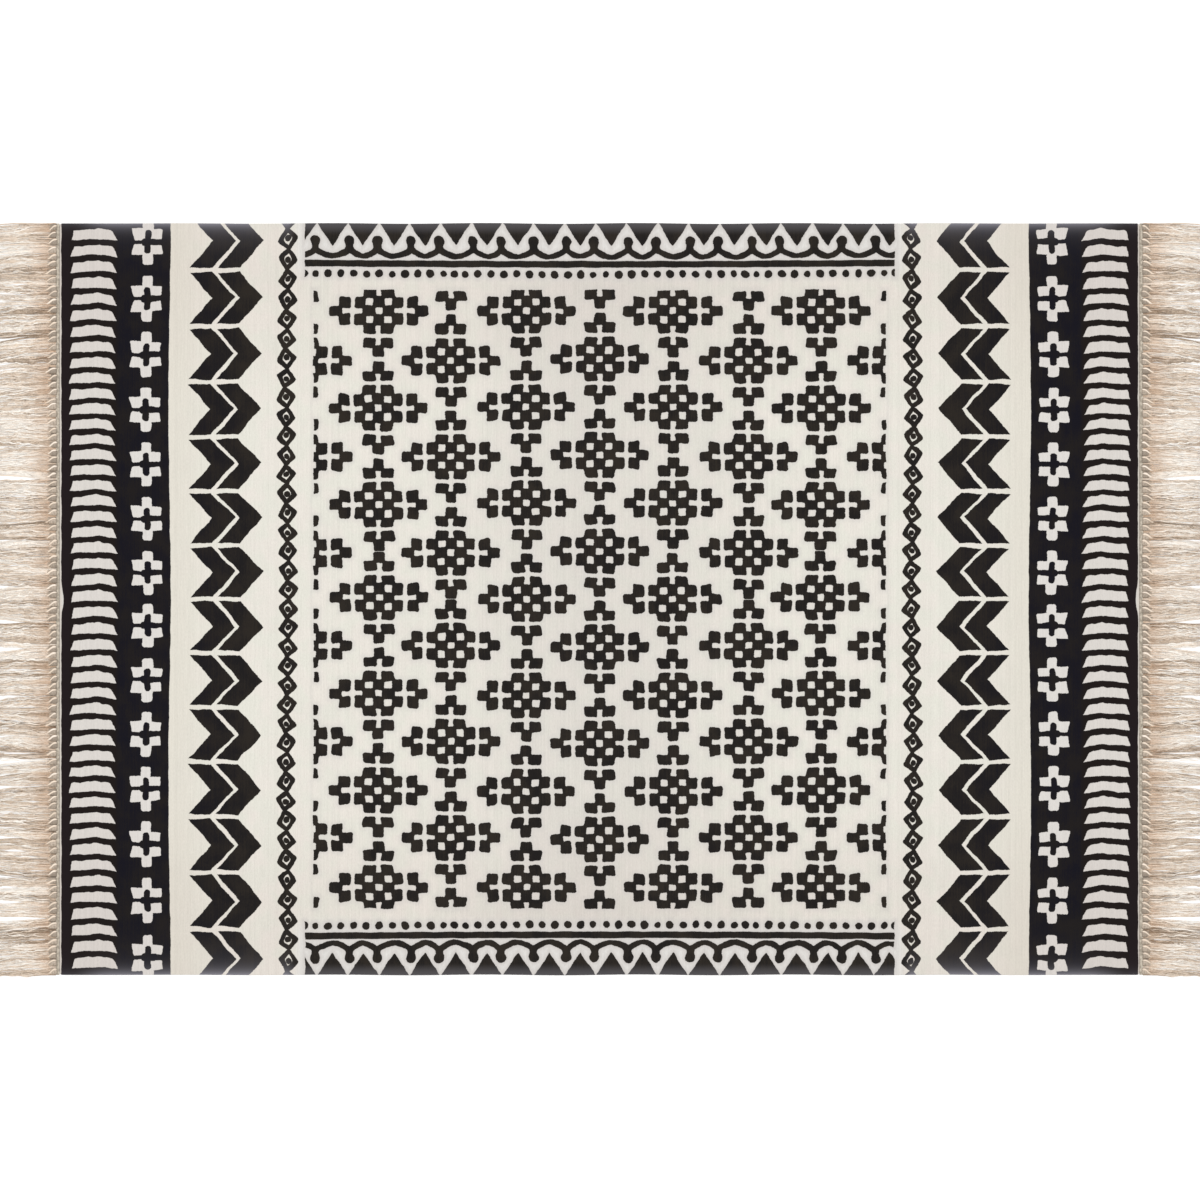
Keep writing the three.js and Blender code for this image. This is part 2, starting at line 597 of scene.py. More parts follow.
def draw_garland(along, up):
    from_mirror = abs(along - GARLAND_MIRROR)
    pinch = smooth(from_mirror, 0.0, GARLAND_PINCH["reach"], GARLAND_PINCH["shift"], 0.0)
    sideways = fold(from_mirror - pinch - GARLAND_START, GARLAND_PITCH)
    near, far = KNOB_PLACE[0], GARLAND_PITCH - KNOB_PLACE[0]
    rise = least(sideways / near, (GARLAND_PITCH - sideways) / far)

    def swag_edge(row):
        return rise.math("POWER", row["power"]) * row["rise"] + row["low"]

    swag = most(swag_edge(SWAG_FOOT) - up, up - swag_edge(SWAG_TOP)) * SWAG_SQUARENESS
    place = pair(sideways, up)
    neck_low = (near - NECK_HALF_WIDTH, NECK_FOOT)
    neck_high = (near + NECK_HALF_WIDTH, KNOB_PLACE[1])
    neck = block(place, neck_low, neck_high, NECK_ROUNDING)
    return melt(GARLAND_INK_RUN, swag, neck, spot(place, KNOB_PLACE, KNOB_RADIUS))


garland = motif_group("knobbed_garland", ("Along", "Up"), draw_garland)

# %% Draw the dots
DOT_PLACE = 604.6
DOT_REPEAT = 277.9
DOT_START = 11.6
DOT_PITCH = 23.75
# The radius of each of the twelve dots in a repeat, outwards. The last one is pushed in by the next repeat.
DOT_RADII = (5.55, 7.25, 6.95, 7.35, 5.85, 7.15, 6.5, 6.5, 6.4, 6.85, 5.8, 7.15)
LAST_DOT_IN = 3.3


def look_up(number, row):
    """The entry of a short row for a whole number, 0 for its first. A stepped ramp holds the row."""
    ramp = number.tree.nodes.new("ShaderNodeValToRGB")
    steps = ramp.color_ramp
    steps.interpolation = "CONSTANT"
    largest = max(row)
    while len(steps.elements) < len(row):
        steps.elements.new(1.0)
    for place, (step, entry) in enumerate(zip(steps.elements, row)):
        step.position = place / len(row)
        step.color = (entry / largest, entry / largest, entry / largest, 1.0)
    feed(ramp.inputs["Fac"], (number + 0.5) / len(row))
    return Wire(number.tree, ramp.outputs["Color"]) * largest


def draw_dots(along, up):
    last = len(DOT_RADII) - 1
    middle = last * DOT_PITCH / 2
    within = repeat(abs(along) - DOT_START - middle, DOT_REPEAT) + middle
    number = (within / DOT_PITCH).math("ROUND")
    pushed_in = number.math("GREATER_THAN", last - 0.5) * LAST_DOT_IN
    sideways = within - number * DOT_PITCH + pushed_in
    return pair(sideways, up - DOT_PLACE).vector("LENGTH") - look_up(number, DOT_RADII)


dots = motif_group("dot_row", ("Along", "Up"), draw_dots)

# %% [markdown]
# ## The whole print
# The print group places the motifs. First it shifts the point it looks at: a slow wave, because the cloth
# wasn't quite straight on the printing table, and a small noise, because blocks print with uneven edges.
# Plain lines and the edges of the end bands were ruled, so they wobble less. Then it folds the rug in half
# both ways and joins the bands. Ink spreads beyond the block and bleeds along the threads, so every motif
# grows by half a millimetre and its edge is soft. In the busy field and border a faint haze of ink lies
# between the motifs.

# %% Noises that make the print uneven
WOBBLES = [
    {"size": 30.0, "shift": 1.9},
    {"size": 9.0, "shift": 0.7},
    {"size": 2.6, "shift": 0.5},
]


def noise(place, size, detail):
    """A cloudy noise whose patches are about this many millimetres across: its grey and its colour."""
    cloud = place.tree.nodes.new("ShaderNodeTexNoise")
    cloud.noise_dimensions = "2D"
    feed(cloud.inputs["Scale"], 1 / size)
    feed(cloud.inputs["Detail"], detail)
    feed(cloud.inputs["Vector"], place)
    return [Wire(place.tree, socket) for socket in cloud.outputs]


def shake(place, size, shift):
    """How far a noise of that size moves a place, by up to shift each way."""
    _, colour = noise(place, size, 0.0)
    return colour.vector("SUBTRACT", (0.5, 0.5, 0.5)).vector("MULTIPLY", (2 * shift, 2 * shift, 0))


print(len(WOBBLES), "noises for the print")

# %% Place the motifs on the cloth
BAND_INNER = 797.2
BAND_OUTER = 996.6
# At the middle of each end the band stops a little short of its outer edge.
SLIP = {"depth": 4.0, "half_width": 38.0}
BORDER_REACH = 545.5
FIELD_REACH = (529.7, 572.3)
WAVE_HEIGHT = 2.1
PRINT_SHIFT = 0.4
BORDER_BOW = 2.5
BORDER_DROP = 0.7
STRETCH = {"lower": 0.00051, "upper": 0.00044}
SPREAD = 0.5
BLEED = 0.9
HAZE_REACH = 11.0
FIELD_HAZE = 0.67
LINE_PLACE = 623.3
LINE_HALF_WIDTH = 5.7
# What was ruled keeps only this share of the wobble.
RULED_SHARE = 0.45


def print_group():
    outputs = [("Ink", "Float"), ("Haze", "Float")]
    tree, (place,), leave = new_group("rug_print", [("Place", "Vector")], outputs)

    def placed(group, *wires):
        return place_group(tree, group, *wires)[0]

    # Uneven places for the motifs, and calmer ones for what was ruled
    wobble = shake(place, **WOBBLES[0])
    for row in WOBBLES[1:]:
        wobble = wobble.vector("ADD", shake(place, **row))
    shifted, across, _ = split(place.vector("ADD", wobble))
    calm = wobble.vector("MULTIPLY", (RULED_SHARE, RULED_SHARE, 0))
    ruled_along, ruled_across, _ = split(place.vector("ADD", calm))
    ruled_out = abs(ruled_along - PRINT_SHIFT)
    along = shifted - PRINT_SHIFT
    up = abs(across)
    out = abs(along) + waves(across, WAVE_LENGTH) * WAVE_HEIGHT

    # The end bands, by steps that grow towards the long sides
    even_steps = up / STEP
    stretch = smooth(across, -STEP, STEP, STRETCH["lower"], STRETCH["upper"])
    steps = even_steps - even_steps * even_steps * even_steps * stretch
    slip = smooth(up, 0.0, SLIP["half_width"], SLIP["depth"], 0.0)
    inner_edge = BAND_INNER - ruled_out - waves(ruled_across, WAVE_LENGTH) * WAVE_HEIGHT
    band = most(inner_edge, ruled_out + slip - BAND_OUTER)
    band = most(band, -placed(flowers, out, steps), -placed(bars, out, across))

    # The border of the long sides, bowed and a little low
    bow = waves(along, 4 * BORDER_REACH) * BORDER_BOW
    border_up = abs(across + BORDER_DROP) + bow
    line = abs(abs(ruled_across + BORDER_DROP) + bow - LINE_PLACE) - LINE_HALF_WIDTH
    from_edge = HALF_WIDTH / MM - up
    border = least(placed(triangles, along, from_edge), placed(garland, along, border_up), line)
    border = most(least(border, placed(dots, along, border_up)), abs(along) - BORDER_REACH)

    field = most(placed(medallions, abs(along), across), abs(along) - FIELD_REACH[0], up - FIELD_REACH[1])
    edge = least(band, placed(chevrons, out, steps), placed(chain, out, steps), border, field) - SPREAD
    border_haze = smooth(border, 0.0, HAZE_REACH, 1.0, 0.0)
    field_haze = smooth(field, 0.0, HAZE_REACH, FIELD_HAZE, 0.0)
    feed(leave.inputs["Ink"], smooth(edge, -BLEED / 2, BLEED / 2, 1.0, 0.0))
    feed(leave.inputs["Haze"], most(border_haze, field_haze))
    return tree


rug_print = print_group()
print("print group", len(rug_print.nodes), "nodes")

# %% [markdown]
# ## Weave
# Flat-woven cotton shows ribs across the rug, about two millimetres apart, each rib a row of small floats
# that sit between those of its neighbours. The weave group gives the height of the threads for the bump,
# and a tint: threads differ a little in shade, and thick places called slubs run along them. The cloth and
# the fringe tape both use it, at their own pitch.

# %% Build the weave group
WEAVE_SHAKE = {"size": 9.0, "shift": 0.5}
FLOAT_DEPTH = 0.35
# What the tint is made of. stretch: how fast a noise changes along and across the rug.
SLUBS = {"stretch": (1.0, 0.07, 1.0), "size": 2.6, "detail": 2.0, "share": 0.4}
GRAIN = {"stretch": (1.0, 0.35, 1.0), "size": 1.7, "detail": 1.0, "share": 0.45}
RIB_SHARE = 0.15


def white_noise(number):
    """A chance number from 0 to 1 that stays the same for the same whole number."""
    chance = number.tree.nodes.new("ShaderNodeTexWhiteNoise")
    chance.noise_dimensions = "1D"
    feed(chance.inputs["W"], number)
    return Wire(number.tree, chance.outputs["Value"])


def weave_group():
    inputs = [("Place", "Vector"), ("Rib Pitch", "Float"), ("Float Length", "Float")]
    tree, wires, leave = new_group("plain_weave", inputs, [("Height", "Float"), ("Tint", "Float")])
    place, rib_pitch, float_length = wires
    along, across, _ = split(place.vector("ADD", shake(place, **WEAVE_SHAKE)))
    ribs = along / rib_pitch
    number = ribs.math("FLOOR")
    round_rib = (ribs * math.pi).math("SINE")
    floats = ((across / float_length + number) * math.pi).math("COSINE")
    height = round_rib * round_rib * (floats * FLOAT_DEPTH + (1 - FLOAT_DEPTH))
    tint = white_noise(number) * RIB_SHARE
    for row in (SLUBS, GRAIN):
        cloud, _ = noise(place.vector("MULTIPLY", row["stretch"]), row["size"], row["detail"])
        tint = tint + cloud * row["share"]
    feed(leave.inputs["Height"], height)
    feed(leave.inputs["Tint"], tint)
    return tree


plain_weave = weave_group()
print("weave group", len(plain_weave.nodes), "nodes")

# %% [markdown]
# ## Printed cotton
# The cloth's material mixes two colours by the ink mask. The ecru cotton is cloudy in tone, now a little
# pink and now a little green, warmer beside the end bands, greyer where feet pass along the middle, and
# pinker towards the long sides. The ink is blue-black in the end bands and browner among the bars and in
# the field. Along the long sides it has washed out to grey, most of all from the chevrons and end bands.
# The print only reaches the upper face, so the underside shows a ghost of it. Cotton is matt: high
# roughness, hardly any mirror-like shine, and a little sheen.

# %% Helpers for materials
WHITE = (1.0, 1.0, 1.0)


def millimetres(tree):
    """Where a point lies on its piece, in millimetres."""
    own = tree.nodes.new("ShaderNodeTexCoord")
    return Wire(tree, own.outputs["Object"]).vector("MULTIPLY", (1 / MM, 1 / MM, 1 / MM))


def shade(factor, first, second):
    """Mixes two colours, each a plain colour or a wire."""
    mix = factor.tree.nodes.new("ShaderNodeMix")
    mix.data_type = "RGBA"
    feed(mix.inputs["Factor"], factor)
    colours = [socket for socket in mix.inputs if socket.type == "RGBA"]
    for socket, value in zip(colours, (first, second)):
        feed(socket, value if isinstance(value, Wire) else (*value, 1.0))
    return Wire(factor.tree, [socket for socket in mix.outputs if socket.type == "RGBA"][0])


def into_zone(zone, out, colour):
    """Eases a colour over to a zone's own."""
    return shade(smooth(out, *zone["out"], 0.0, zone["share"]), colour, zone["colour"])


def dress(surface, colour, grain, roughness, height, bump):
    """Feeds a shader its colour, a roughness by the grain, and a bump by a height from 0 to 1."""
    raised = height.tree.nodes.new("ShaderNodeBump")
    feed(raised.inputs["Strength"], bump["strength"])
    feed(raised.inputs["Distance"], bump["depth"])
    feed(raised.inputs["Height"], height)
    feed(surface.inputs["Normal"], Wire(height.tree, raised.outputs["Normal"]))
    feed(surface.inputs["Base Color"], colour)
    feed(surface.inputs["Roughness"], grain * roughness["spread"] + roughness["least"])


print("material helpers ready")

# %% Colour the bare cotton
THREAD_DEPTH = 0.15
BLOTCH_GREYS = (0.35, 0.65)
BARS_FROM = BAR_INNER_END["place"]
BARS_TO = BAR_OUTER_END["place"]
ECRU = {"pink": (0.632, 0.598, 0.545), "green": (0.610, 0.598, 0.535)}
# Zones out from the rug's middle: where each starts and is full, and how much of its colour shows there.
ECRU_ZONES = [
    {"zone": "beside band", "out": (690.0, 790.0), "share": 0.9, "colour": (0.588, 0.559, 0.493)},
    {"zone": "flowers", "out": (BAND_INNER, BAND_INNER + 20), "share": 0.9, "colour": (0.572, 0.549, 0.524)},
    {"zone": "bars", "out": (BARS_FROM - 20.0, BARS_FROM), "share": 1.0, "colour": (0.550, 0.520, 0.488)},
]
HEM = {"out": (BAND_OUTER - 2.0, BAND_OUTER + 1.0), "share": 0.9, "colour": (0.52, 0.475, 0.43)}
FOOTFALL = {"reach": 430.0, "share": 0.5, "clouds": 0.4, "colour": (0.510, 0.480, 0.445)}
BORDER = {"full": 70.0, "from": 115.0, "share": 0.9, "end": 30.0, "colour": (0.620, 0.618, 0.595)}
HAZE = {"share": 0.75, "colour": (0.505, 0.485, 0.460)}
SIDE_TINT = {"full": 60.0, "from": 380.0, "colour": (0.95, 0.93, 0.93)}


def ecru_colour(tint, cloud, blotch, out, from_edge, haze):
    """Undyed cotton, by zone of the rug."""
    ecru = shade(smooth(blotch, *BLOTCH_GREYS, 0.0, 1.0), ECRU["pink"], ECRU["green"])
    for zone in ECRU_ZONES:
        ecru = into_zone(zone, out, ecru)
    footfall = smooth(out, 0.0, FOOTFALL["reach"], FOOTFALL["share"], 0.0)
    footfall = footfall + (cloud - 0.5) * FOOTFALL["clouds"]
    ecru = shade(footfall, ecru, FOOTFALL["colour"])
    border = smooth(from_edge, BORDER["full"], BORDER["from"], 1.0, 0.0)
    border = border * smooth(out, BORDER_REACH, BORDER_REACH + BORDER["end"], BORDER["share"], 0.0)
    ecru = shade(border, ecru, BORDER["colour"])
    ecru = shade(haze * HAZE["share"], ecru, HAZE["colour"])
    ecru = into_zone(HEM, out, ecru)
    beside = smooth(from_edge, SIDE_TINT["full"], SIDE_TINT["from"], 1.0, 0.0)
    ecru = ecru.vector("MULTIPLY", shade(beside, WHITE, SIDE_TINT["colour"]))
    brightness = (tint - 0.5) * (2 * THREAD_DEPTH) + 1.0
    return ecru.vector("SCALE", (0, 0, 0), (0, 0, 0), brightness)


print(len(ECRU_ZONES), "zones of ecru")

# %% Colour the ink
BAND_INK = {"blue": (0.0060, 0.0055, 0.0095), "brown": (0.0112, 0.0092, 0.0090)}
INK_ZONES = [
    {"zone": "bars", "out": (BARS_FROM - 12.0, BARS_FROM), "share": 0.9, "colour": (0.0108, 0.0076, 0.0066)},
    {"zone": "strip", "out": (BARS_TO, BARS_TO + 6.0), "share": 0.9, "colour": (0.0120, 0.0080, 0.0094)},
]
FIELD_INK = {"blue": (0.0114, 0.0099, 0.0094), "brown": (0.0222, 0.0179, 0.0141)}
FIELD_INK_OUT = (540.0, 900.0)
WASHED_INK = {"width": 23.0, "share": 0.9, "colour": (0.072, 0.068, 0.072)}
# Chevrons and end bands have lost most: nearly all at the very edge, and a little far in.
FADED_INK = (0.182, 0.176, 0.200)
FADED_OUT = (560.0, 580.0)
FADES = [{"share": 0.85, "reach": 7.0}, {"share": 0.24, "reach": 25.0}]
# How much of the far fade is left in the end bands, and of both fades beside the fringe.
BAND_FAR_FADE = {"share": 0.45, "ease": 5.0}
STRIP_FADE = 0.2


def ink_colour(tint, blotch, out, from_edge):
    """Black ink, by zone of the rug."""
    patch = smooth(blotch * 0.5 + tint * 0.5, *BLOTCH_GREYS, 0.0, 1.0)
    band = shade(patch, BAND_INK["blue"], BAND_INK["brown"])
    for zone in INK_ZONES:
        band = into_zone(zone, out, band)
    field = shade(patch, FIELD_INK["blue"], FIELD_INK["brown"])
    black = shade(smooth(out, *FIELD_INK_OUT, 1.0, 0.0), band, field)
    beyond_field = smooth(out, *FADED_OUT, 0.0, 1.0)
    washed = smooth(from_edge, 0.0, WASHED_INK["width"], WASHED_INK["share"], 0.0) * (1.0 - beyond_field)
    near, far = ((from_edge / -row["reach"]).math("EXPONENT") * row["share"] for row in FADES)
    far = far * smooth(out, BAND_INNER - BAND_FAR_FADE["ease"], BAND_INNER, 1.0, BAND_FAR_FADE["share"])
    beside_fringe = smooth(out, BARS_FROM, BARS_TO, 1.0, STRIP_FADE)
    faded = (near + far) * beyond_field * beside_fringe
    return shade(faded, shade(washed, black, WASHED_INK["colour"]), FADED_INK)


print(len(INK_ZONES), "zones of ink in the end bands")

# %% Mix the printed cotton
COTTON_FINISH = {"Specular IOR Level": 0.06, "Sheen Weight": 0.03}
COTTON_ROUGHNESS = {"least": 0.84, "spread": 0.12}
COTTON_BUMP = {"strength": 0.35, "depth": 0.5 * MM}
# Pitch of the ribs and length of a float.
COTTON_WEAVE = (2.0, 1.3)
CLOUDS = {"size": 140.0, "detail": 3.0}
BLOTCHES = {"size": 45.0, "detail": 2.0}
GHOST = {"levels": (1.2, 2.6), "share": 0.16}


def printed_cotton():
    material, tree, surface = new_material("printed_cotton", COTTON_FINISH)
    place = millimetres(tree)
    along, across, level = split(place)
    out = abs(along)
    from_edge = HALF_WIDTH / MM - abs(across)
    height, tint = place_group(tree, plain_weave, place, *COTTON_WEAVE)
    cloud, _ = noise(place, **CLOUDS)
    blotch, _ = noise(place, **BLOTCHES)
    ink, haze = place_group(tree, rug_print, place)
    ecru = ecru_colour(tint, cloud, blotch, out, from_edge, haze)
    black = ink_colour(tint, blotch, out, from_edge)
    through = smooth(level, *GHOST["levels"], GHOST["share"], 1.0)
    dress(surface, shade(ink * through, ecru, black), tint, COTTON_ROUGHNESS, height, COTTON_BUMP)
    return material


cotton = printed_cotton()
print("printed cotton", len(cotton.node_tree.nodes), "nodes")

# %% [markdown]
# ## The cloth
# A grid with rounded corners, thickened, its rim rounded over. Real cloth on a floor is never dead flat, so
# the sheet then rises in slow shallow waves, and its long sides wander a little, as the frame's do. Its own
# baking map gives the printed face most of the picture, because nothing else on the sheet has detail.

# %% Thicken a flat grid
# An edge whose faces turn by more than this, in radians, belongs to the rim.
RIM_TURN = 1.0


def flat_grid(cells, half_length, half_width):
    """A flat grid about the origin."""
    shape = bmesh.new()
    bmesh.ops.create_grid(shape, x_segments=cells[0], y_segments=cells[1], size=1.0)
    bmesh.ops.scale(shape, verts=shape.verts, vec=(half_length, half_width, 1.0))
    return shape


def thicken(shape, thickness, rounding, steps):
    """Gives a flat grid its thickness, stands it on the floor and rounds its rim."""
    bmesh.ops.solidify(shape, geom=shape.faces[:], thickness=thickness)
    lowest = min(vert.co.z for vert in shape.verts)
    bmesh.ops.translate(shape, verts=shape.verts, vec=(0, 0, -lowest))
    bmesh.ops.recalc_face_normals(shape, faces=shape.faces)
    rim = [edge for edge in shape.edges if edge.calc_face_angle(0.0) > RIM_TURN]
    bmesh.ops.bevel(shape, geom=rim, offset=rounding, offset_type="OFFSET", segments=steps, profile=0.5,
                    affect="EDGES", material=-1)


print("grid helpers ready")

# %% Wave the sheet
SIDE_WANDER = 0.8 * MM
SIDE_WAVES = 7
LIFT = 0.5 * MM
# Two slow waves over the sheet, in radians for each metre.
BROAD_WAVE = {"along": 4.1, "start": 1.0, "across": 5.3}
SLANTED_WAVE = {"along": 7.3, "across": -4.7}


def lifted(point):
    """Where a point of the flat sheet lies on the floor: shallow waves, and wandering long sides."""
    x, y, z = point
    broad = math.sin(BROAD_WAVE["along"] * x + BROAD_WAVE["start"]) * math.cos(BROAD_WAVE["across"] * y)
    slanted = math.sin(SLANTED_WAVE["along"] * x + SLANTED_WAVE["across"] * y)
    fade = math.cos(0.5 * math.pi * x / HALF_LENGTH)
    wander = SIDE_WANDER * fade * math.sin(math.pi * SIDE_WAVES * x / HALF_LENGTH)
    return x, y + wander, z + LIFT * (1 + (broad + slanted) / 2)


print("sheet rises up to", 2 * LIFT, "m")

# %% Lay out the sheet's baking map
# The baking map: how far the sheet reaches each way from its middle, and the rows for each part of it.
MAP_REACH = 0.49
FACE_ROWS = {"from": 0.21, "height": 0.79}
BACK_ROWS = {"from": 0.05, "height": 0.15}
RIM_ROWS = {"far": 0.0, "near": 0.01, "right": 0.02, "left": 0.03}
RIM_SCALE = 2.0


def sheet_bake_map(mesh):
    """Printed face in the upper four fifths of the map, the underside and the four rims below it."""
    layer = mesh.uv_layers.new(name="OFBake")
    for face in mesh.polygons:
        turn = face.normal
        for loop in face.loop_indices:
            x, y, z = mesh.vertices[mesh.loops[loop].vertex_index].co
            u = 0.5 + MAP_REACH * x / HALF_LENGTH
            v = 0.5 + MAP_REACH * y / HALF_WIDTH
            if turn.z > 0.5:
                corner = (u, FACE_ROWS["from"] + FACE_ROWS["height"] * v)
            elif turn.z < -0.5:
                corner = (u, BACK_ROWS["from"] + BACK_ROWS["height"] * v)
            elif abs(turn.y) > abs(turn.x):
                corner = (u, RIM_ROWS["far" if turn.y > 0 else "near"] + RIM_SCALE * z)
            else:
                corner = (v, RIM_ROWS["right" if turn.x > 0 else "left"] + RIM_SCALE * z)
            layer.uv[loop].vector = corner


print("printed face fills", FACE_ROWS["height"], "of the map")

# %% Weave the sheet
CELLS = (100, 70)
CORNER_ROUNDING = 5.0 * MM
RIM_ROUNDING = 1.2 * MM
ROUNDING_STEPS = 3


def link_piece(name, mesh, material):
    """Puts a finished mesh into the scene as a smooth-shaded piece."""
    mesh.shade_smooth()
    print(name, len(mesh.polygons), "faces")
    return add_object(name, mesh, material)


def cloth_sheet():
    shape = flat_grid(CELLS, HALF_LENGTH, HALF_WIDTH)
    corners = [vert for vert in shape.verts if len(vert.link_edges) == 2]
    bmesh.ops.bevel(shape, geom=corners, offset=CORNER_ROUNDING, offset_type="OFFSET",
                    segments=ROUNDING_STEPS, profile=0.5, affect="VERTICES", material=-1)
    thicken(shape, THICKNESS, RIM_ROUNDING, ROUNDING_STEPS)
    for vert in shape.verts:
        vert.co = lifted(vert.co)
    mesh = mesh_of(shape, "cloth_sheet")
    sheet_bake_map(mesh)
    return link_piece("cloth_sheet", mesh, cotton)


cloth = cloth_sheet()

# %% [markdown]
# ## Fringe yarn
# The fringe is a trim sold by the metre: a narrow heading tape, short twisted cords that hang from it, and
# loose strands where each cord comes undone. Strands differ in tone, from shadowed beige to cream. They are
# darkest where they lie packed beside the cords, which is painted shade together with the yarn's warmer
# tone there, and lower strands are darker and upper ones paler, painted shade and light. Each thread carries
# a map of its own: along the thread one way, its tone the other, so thousands of strands share one small
# picture. The yarn is silkier than the cloth.

# %% Spin the yarn
# From its shadow colour a thread goes to beige and then to cream, each over its own range of tones.
YARN_TONES = [
    {"colour": (0.75, 0.622, 0.498), "tones": (0.0, 0.5)},
    {"colour": (0.99, 0.945, 0.88), "tones": (0.45, 1.0)},
]
YARN_FINISH = {"Specular IOR Level": 0.35, "Sheen Weight": 0.1}
YARN_ROUGHNESS = {"least": 0.42, "spread": 0.2}
YARN_BUMP = {"strength": 0.25, "depth": 0.3 * MM}
# How often streaks and fibres change along a thread and from tone to tone.
STREAKS = (14.0, 60.0, 1.0)
FIBRES = (60.0, 900.0, 1.0)
THREAD_NOISE = {"size": 1.0, "detail": 2.0}


def thread_map(tree):
    """How far along its thread a point lies, and the thread's tone, both from 0 to 1."""
    own = tree.nodes.new("ShaderNodeUVMap")
    own.uv_map = "OFBake"
    return Wire(tree, own.outputs["UV"])


def yarn(name, shadow, root_shade_tint, root_end, streaks):
    """Spun cotton, shadow its darkest colour, streaks how much its tone changes along a thread.
    Threads start darker: a painted shade where they lie beside the cords, with the strands' warmer tone
    there. It is gone at root_end of their length."""
    material, tree, surface = new_material(name, YARN_FINISH)
    thread = thread_map(tree)
    along, tone, _ = split(thread)
    streak, _ = noise(thread.vector("MULTIPLY", STREAKS), **THREAD_NOISE)
    fibre, _ = noise(thread.vector("MULTIPLY", FIBRES), **THREAD_NOISE)
    tone = tone + (streak - 0.5) * streaks
    colour = shadow
    for row in YARN_TONES:
        colour = shade(smooth(tone, *row["tones"], 0.0, 1.0), colour, row["colour"])
    # Painted shade where a thread starts beside the cords, warmed on the strands by their own tone there
    colour = colour.vector("MULTIPLY", shade(smooth(along, 0.0, root_end, 1.0, 0.0), WHITE, root_shade_tint))
    dress(surface, colour, streak, YARN_ROUGHNESS, fibre, YARN_BUMP)
    return material


# The third colour darkens each thread's start: painted shade beside the cords, with a warmer tone on the
# strands.
cord_yarn = yarn("cord_yarn", (0.20, 0.160, 0.122), (0.85, 0.85, 0.85), root_end=0.15, streaks=0.3)
bed_yarn = yarn("bed_yarn", (0.31, 0.222, 0.150), (0.80, 0.68, 0.58), root_end=0.6, streaks=1.1)
lock_yarn = yarn("lock_yarn", (0.31, 0.222, 0.150), (0.80, 0.665, 0.555), root_end=0.6, streaks=1.1)
print("yarn", len(lock_yarn.node_tree.nodes), "nodes")

# %% Weave the tape's cotton
TAPE_COLOUR = {"dark": (0.30, 0.262, 0.21), "light": (0.52, 0.462, 0.38)}
TAPE_FINISH = {"Specular IOR Level": 0.15}
TAPE_ROUGHNESS = {"least": 0.8, "spread": 0.12}
TAPE_BUMP = {"strength": 0.5, "depth": 0.5 * MM}
TAPE_WEAVE = (1.1, 1.6)
TAPE_PATCHES = {"size": 6.0, "detail": 2.0}
TAPE_TINT_SHARE = 0.4
TAPE_GREYS = (0.38, 0.62)


def tape_cotton():
    material, tree, surface = new_material("tape_cotton", TAPE_FINISH)
    place = millimetres(tree)
    height, tint = place_group(tree, plain_weave, place, *TAPE_WEAVE)
    patch, _ = noise(place, **TAPE_PATCHES)
    grey = tint * TAPE_TINT_SHARE + patch * (1 - TAPE_TINT_SHARE)
    colour = shade(smooth(grey, *TAPE_GREYS, 0.0, 1.0), TAPE_COLOUR["dark"], TAPE_COLOUR["light"])
    dress(surface, colour, tint, TAPE_ROUGHNESS, height, TAPE_BUMP)
    return material


tape_weave = tape_cotton()
print("tape", len(tape_weave.node_tree.nodes), "nodes")

# %% [markdown]
# ## Threads from arrays
# A hundred cords and 4300 strands at each end are too many to model by hand. We work out all their middle
# lines at once as arrays, and one function wraps every line in a thin tube with a few sides. Distances run
# out from the end of the cloth, across it and up from the floor, so the same threads serve the right end
# and, mirrored, the left one.

# %% Wrap middle lines in tubes
# How much of a yarn's map the tones fill, and how wide one wall of a tube is on it.
TONE_FILL = 0.95
WALL_FILL = 0.03


def ring(sides):
    """Corners of a tube's section, across and up, for a tube of radius 1."""
    turn = 2 * np.pi * np.arange(sides) / sides
    return np.stack([np.zeros(sides), np.cos(turn), np.sin(turn)], axis=1)


def tube_piece(name, side, lines, radii, tones, heads, sides, material):
    """Wraps lines (thread, step, out-across-up) in tubes. side is -1 for the left end and 1 for the right.
    radii hold each tube's reach across and up for each step, tones a number for each corner too, and
    heads how far along the yarn's map each thread starts."""
    count, steps, _ = lines.shape
    points = lines[:, :, None, :] + radii[:, :, None, :] * ring(sides)
    points[..., 0] = side * (HALF_LENGTH + points[..., 0])
    number = np.arange(count * steps * sides).reshape(count, steps, sides)

    def walls_of(grid):
        """The four corners of every wall, once round each ring and from step to step."""
        around = np.roll(grid, -1, axis=2)
        return np.stack([grid[:, :-1], around[:, :-1], around[:, 1:], grid[:, 1:]], axis=-1).reshape(-1, 4)

    def ends_of(grid):
        """The corners of the faces that close both ends of every tube."""
        return np.concatenate([grid[:, 0, ::-1], grid[:, -1]])

    share = np.linspace(heads, 1.0, steps, axis=1)
    step = np.broadcast_to(share[:, :, None], number.shape)
    tone = np.clip(tones, 0, 1) * TONE_FILL
    wall_width = np.array((0.0, WALL_FILL, WALL_FILL, 0.0))
    faces = []
    maps = []
    for corners_of, widening in ((walls_of, wall_width), (ends_of, 0.0)):
        turned = slice(None, None, side)
        faces += corners_of(number)[:, turned].tolist()
        thread = np.stack([corners_of(step), corners_of(tone) + widening], axis=-1)
        maps.append(thread[:, turned].reshape(-1, 2))
    mesh = bpy.data.meshes.new(name)
    mesh.from_pydata(points.reshape(-1, 3).tolist(), [], faces)
    layer = mesh.uv_layers.new(name="OFBake")
    layer.uv.foreach_set("vector", np.concatenate(maps).astype(np.float32).ravel())
    return link_piece(name, mesh, material)


print("tube maker ready")
